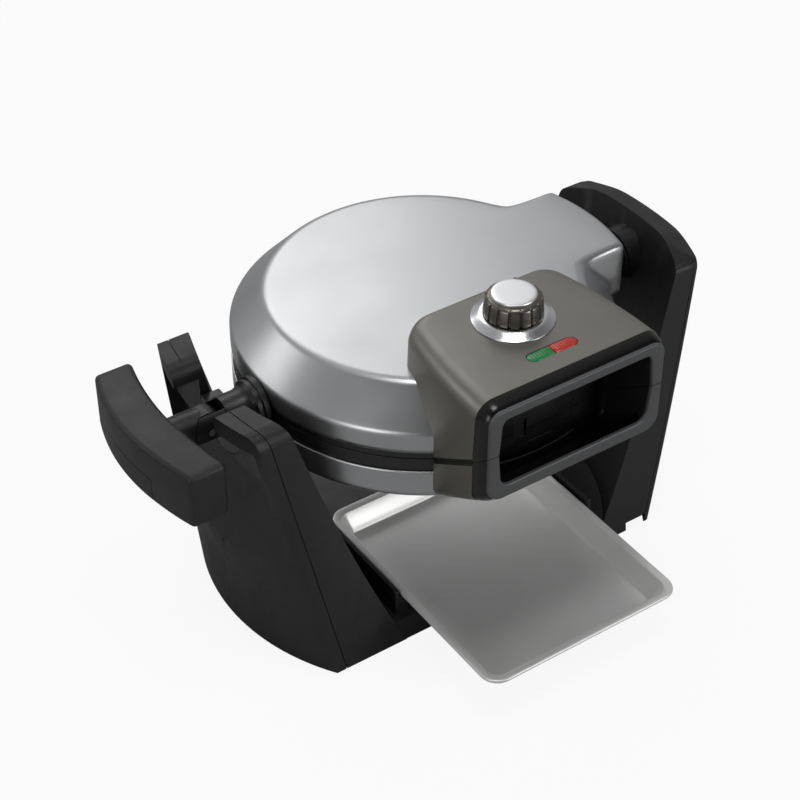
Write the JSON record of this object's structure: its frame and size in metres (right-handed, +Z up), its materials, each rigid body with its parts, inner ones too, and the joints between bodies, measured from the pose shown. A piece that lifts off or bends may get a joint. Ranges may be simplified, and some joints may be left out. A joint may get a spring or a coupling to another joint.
{
  "type": "rotating belgian waffle maker",
  "caption": "Round flip-over waffle maker on a forked stand, with a hinged lid, browning knob, fold-down handle and slide-out drip tray.",
  "frame": {"origin": "on the table, under the centre of the round body", "axes": "+X along the turning axis towards the closed hub on the right, +Y to the rear (the control housing and tray face -Y), +Z up"},
  "size_m": [0.3892, 0.2885, 0.2435],
  "materials": {
    "lid_silver": "satin silver enamel",
    "stand_black": "fine texture",
    "stand_black_outer": "fine texture",
    "underside_black": "plain",
    "bearing_plastic": "low-friction plastic",
    "bronze": "sintered bronze",
    "foot_rubber": "plain",
    "screw_steel": "plated",
    "tray_steel": "satin",
    "ring_black": "moulded texture",
    "cast_nonstick": "non-stick coated cast aluminium",
    "element_steel": "oxidised tube",
    "housing_bronze": "satin warm grey",
    "bezel_black": "gloss",
    "face_grey": "satin",
    "well_black": "coarse moulded texture",
    "hub_black": "satin",
    "pivot_steel": "turned",
    "hinge_steel": "black",
    "collar_silver": "bright",
    "knob_grey": "gunmetal",
    "knob_silver": "satin",
    "lens_green": "clear tinted",
    "lens_red": "clear tinted",
    "ceramic": "heat-proof moulding",
    "grip_black": "fine texture",
    "button_black": "satin"
  },
  "bodies": {
    "base": {"left_support": "stand_black", "right_support": "stand_black", "right_outer_cover": "stand_black_outer", "base_bridge": "stand_black", "bottom_pan": "underside_black", "saddle_bearing": "bearing_plastic", "pivot_bush": "bronze", "rubber_feet": "foot_rubber", "base_screws": "screw_steel", "cord_gland": "foot_rubber"},
    "tray": {"drip_tray": "tray_steel"},
    "cooker": {"lower_cover": "lid_silver", "lower_ring": "ring_black", "lower_plate": "cast_nonstick", "lower_element": "element_steel", "lower_housing": "housing_bronze", "lower_bezel": "bezel_black", "lower_grip_face": "face_grey", "lower_grip_well": "well_black", "left_hub": "hub_black", "pivot_shaft": "pivot_steel", "hinge_bracket": "hinge_steel", "hinge_pin": "screw_steel", "lower_screws": "screw_steel", "fold_pin": "screw_steel"},
    "lid": {"upper_cover": "lid_silver", "upper_ring": "ring_black", "upper_plate": "cast_nonstick", "upper_element": "element_steel", "upper_housing": "housing_bronze", "upper_bezel": "bezel_black", "upper_grip_face": "face_grey", "upper_grip_well": "well_black", "ready_lens": "lens_green", "power_lens": "lens_red", "lamp_holder": "ceramic", "knob_collar": "collar_silver", "thermostat": "ceramic", "lid_hinge": "hinge_steel", "upper_screws": "screw_steel"},
    "knob": {"knob_spindle": "screw_steel", "knob_skirt": "knob_grey", "knob_cap": "knob_silver"},
    "handle": {"handle_shaft": "hub_black", "handle_grip": "grip_black", "button_spring": "screw_steel"},
    "button": {"release_button": "button_black"}
  },
  "joints": [
    {"name": "cooker_flip", "type": "hinge", "parent": "base", "child": "cooker", "pos_m": [0, 0, 0.16], "axis": [1, 0, 0], "range_deg": [-180, 0]},
    {"name": "lid_open", "type": "hinge", "parent": "cooker", "child": "lid", "pos_m": [0, 0.1125, 0.158], "axis": [-1, 0, 0], "range_deg": [0, 100]},
    {"name": "handle_fold", "type": "hinge", "parent": "cooker", "child": "handle", "pos_m": [-0.1555, 0, 0.16], "axis": [0, -1, 0], "range_deg": [0, 90]},
    {"name": "release_press", "type": "slide", "parent": "handle", "child": "button", "axis": [1, 0, 0], "range_m": [0, 0.003], "stiffness_N_per_m": 300, "springref_m": -0.002},
    {"name": "browning_turn", "type": "hinge", "parent": "lid", "child": "knob", "pos_m": [0, -0.0885, 0.2256], "axis": [0, 0, 1], "range_deg": [-120, 120]},
    {"name": "tray_slide", "type": "slide", "parent": "base", "child": "tray", "axis": [0, 1, 0], "range_m": [-0.06, 0.075]}
  ]
}
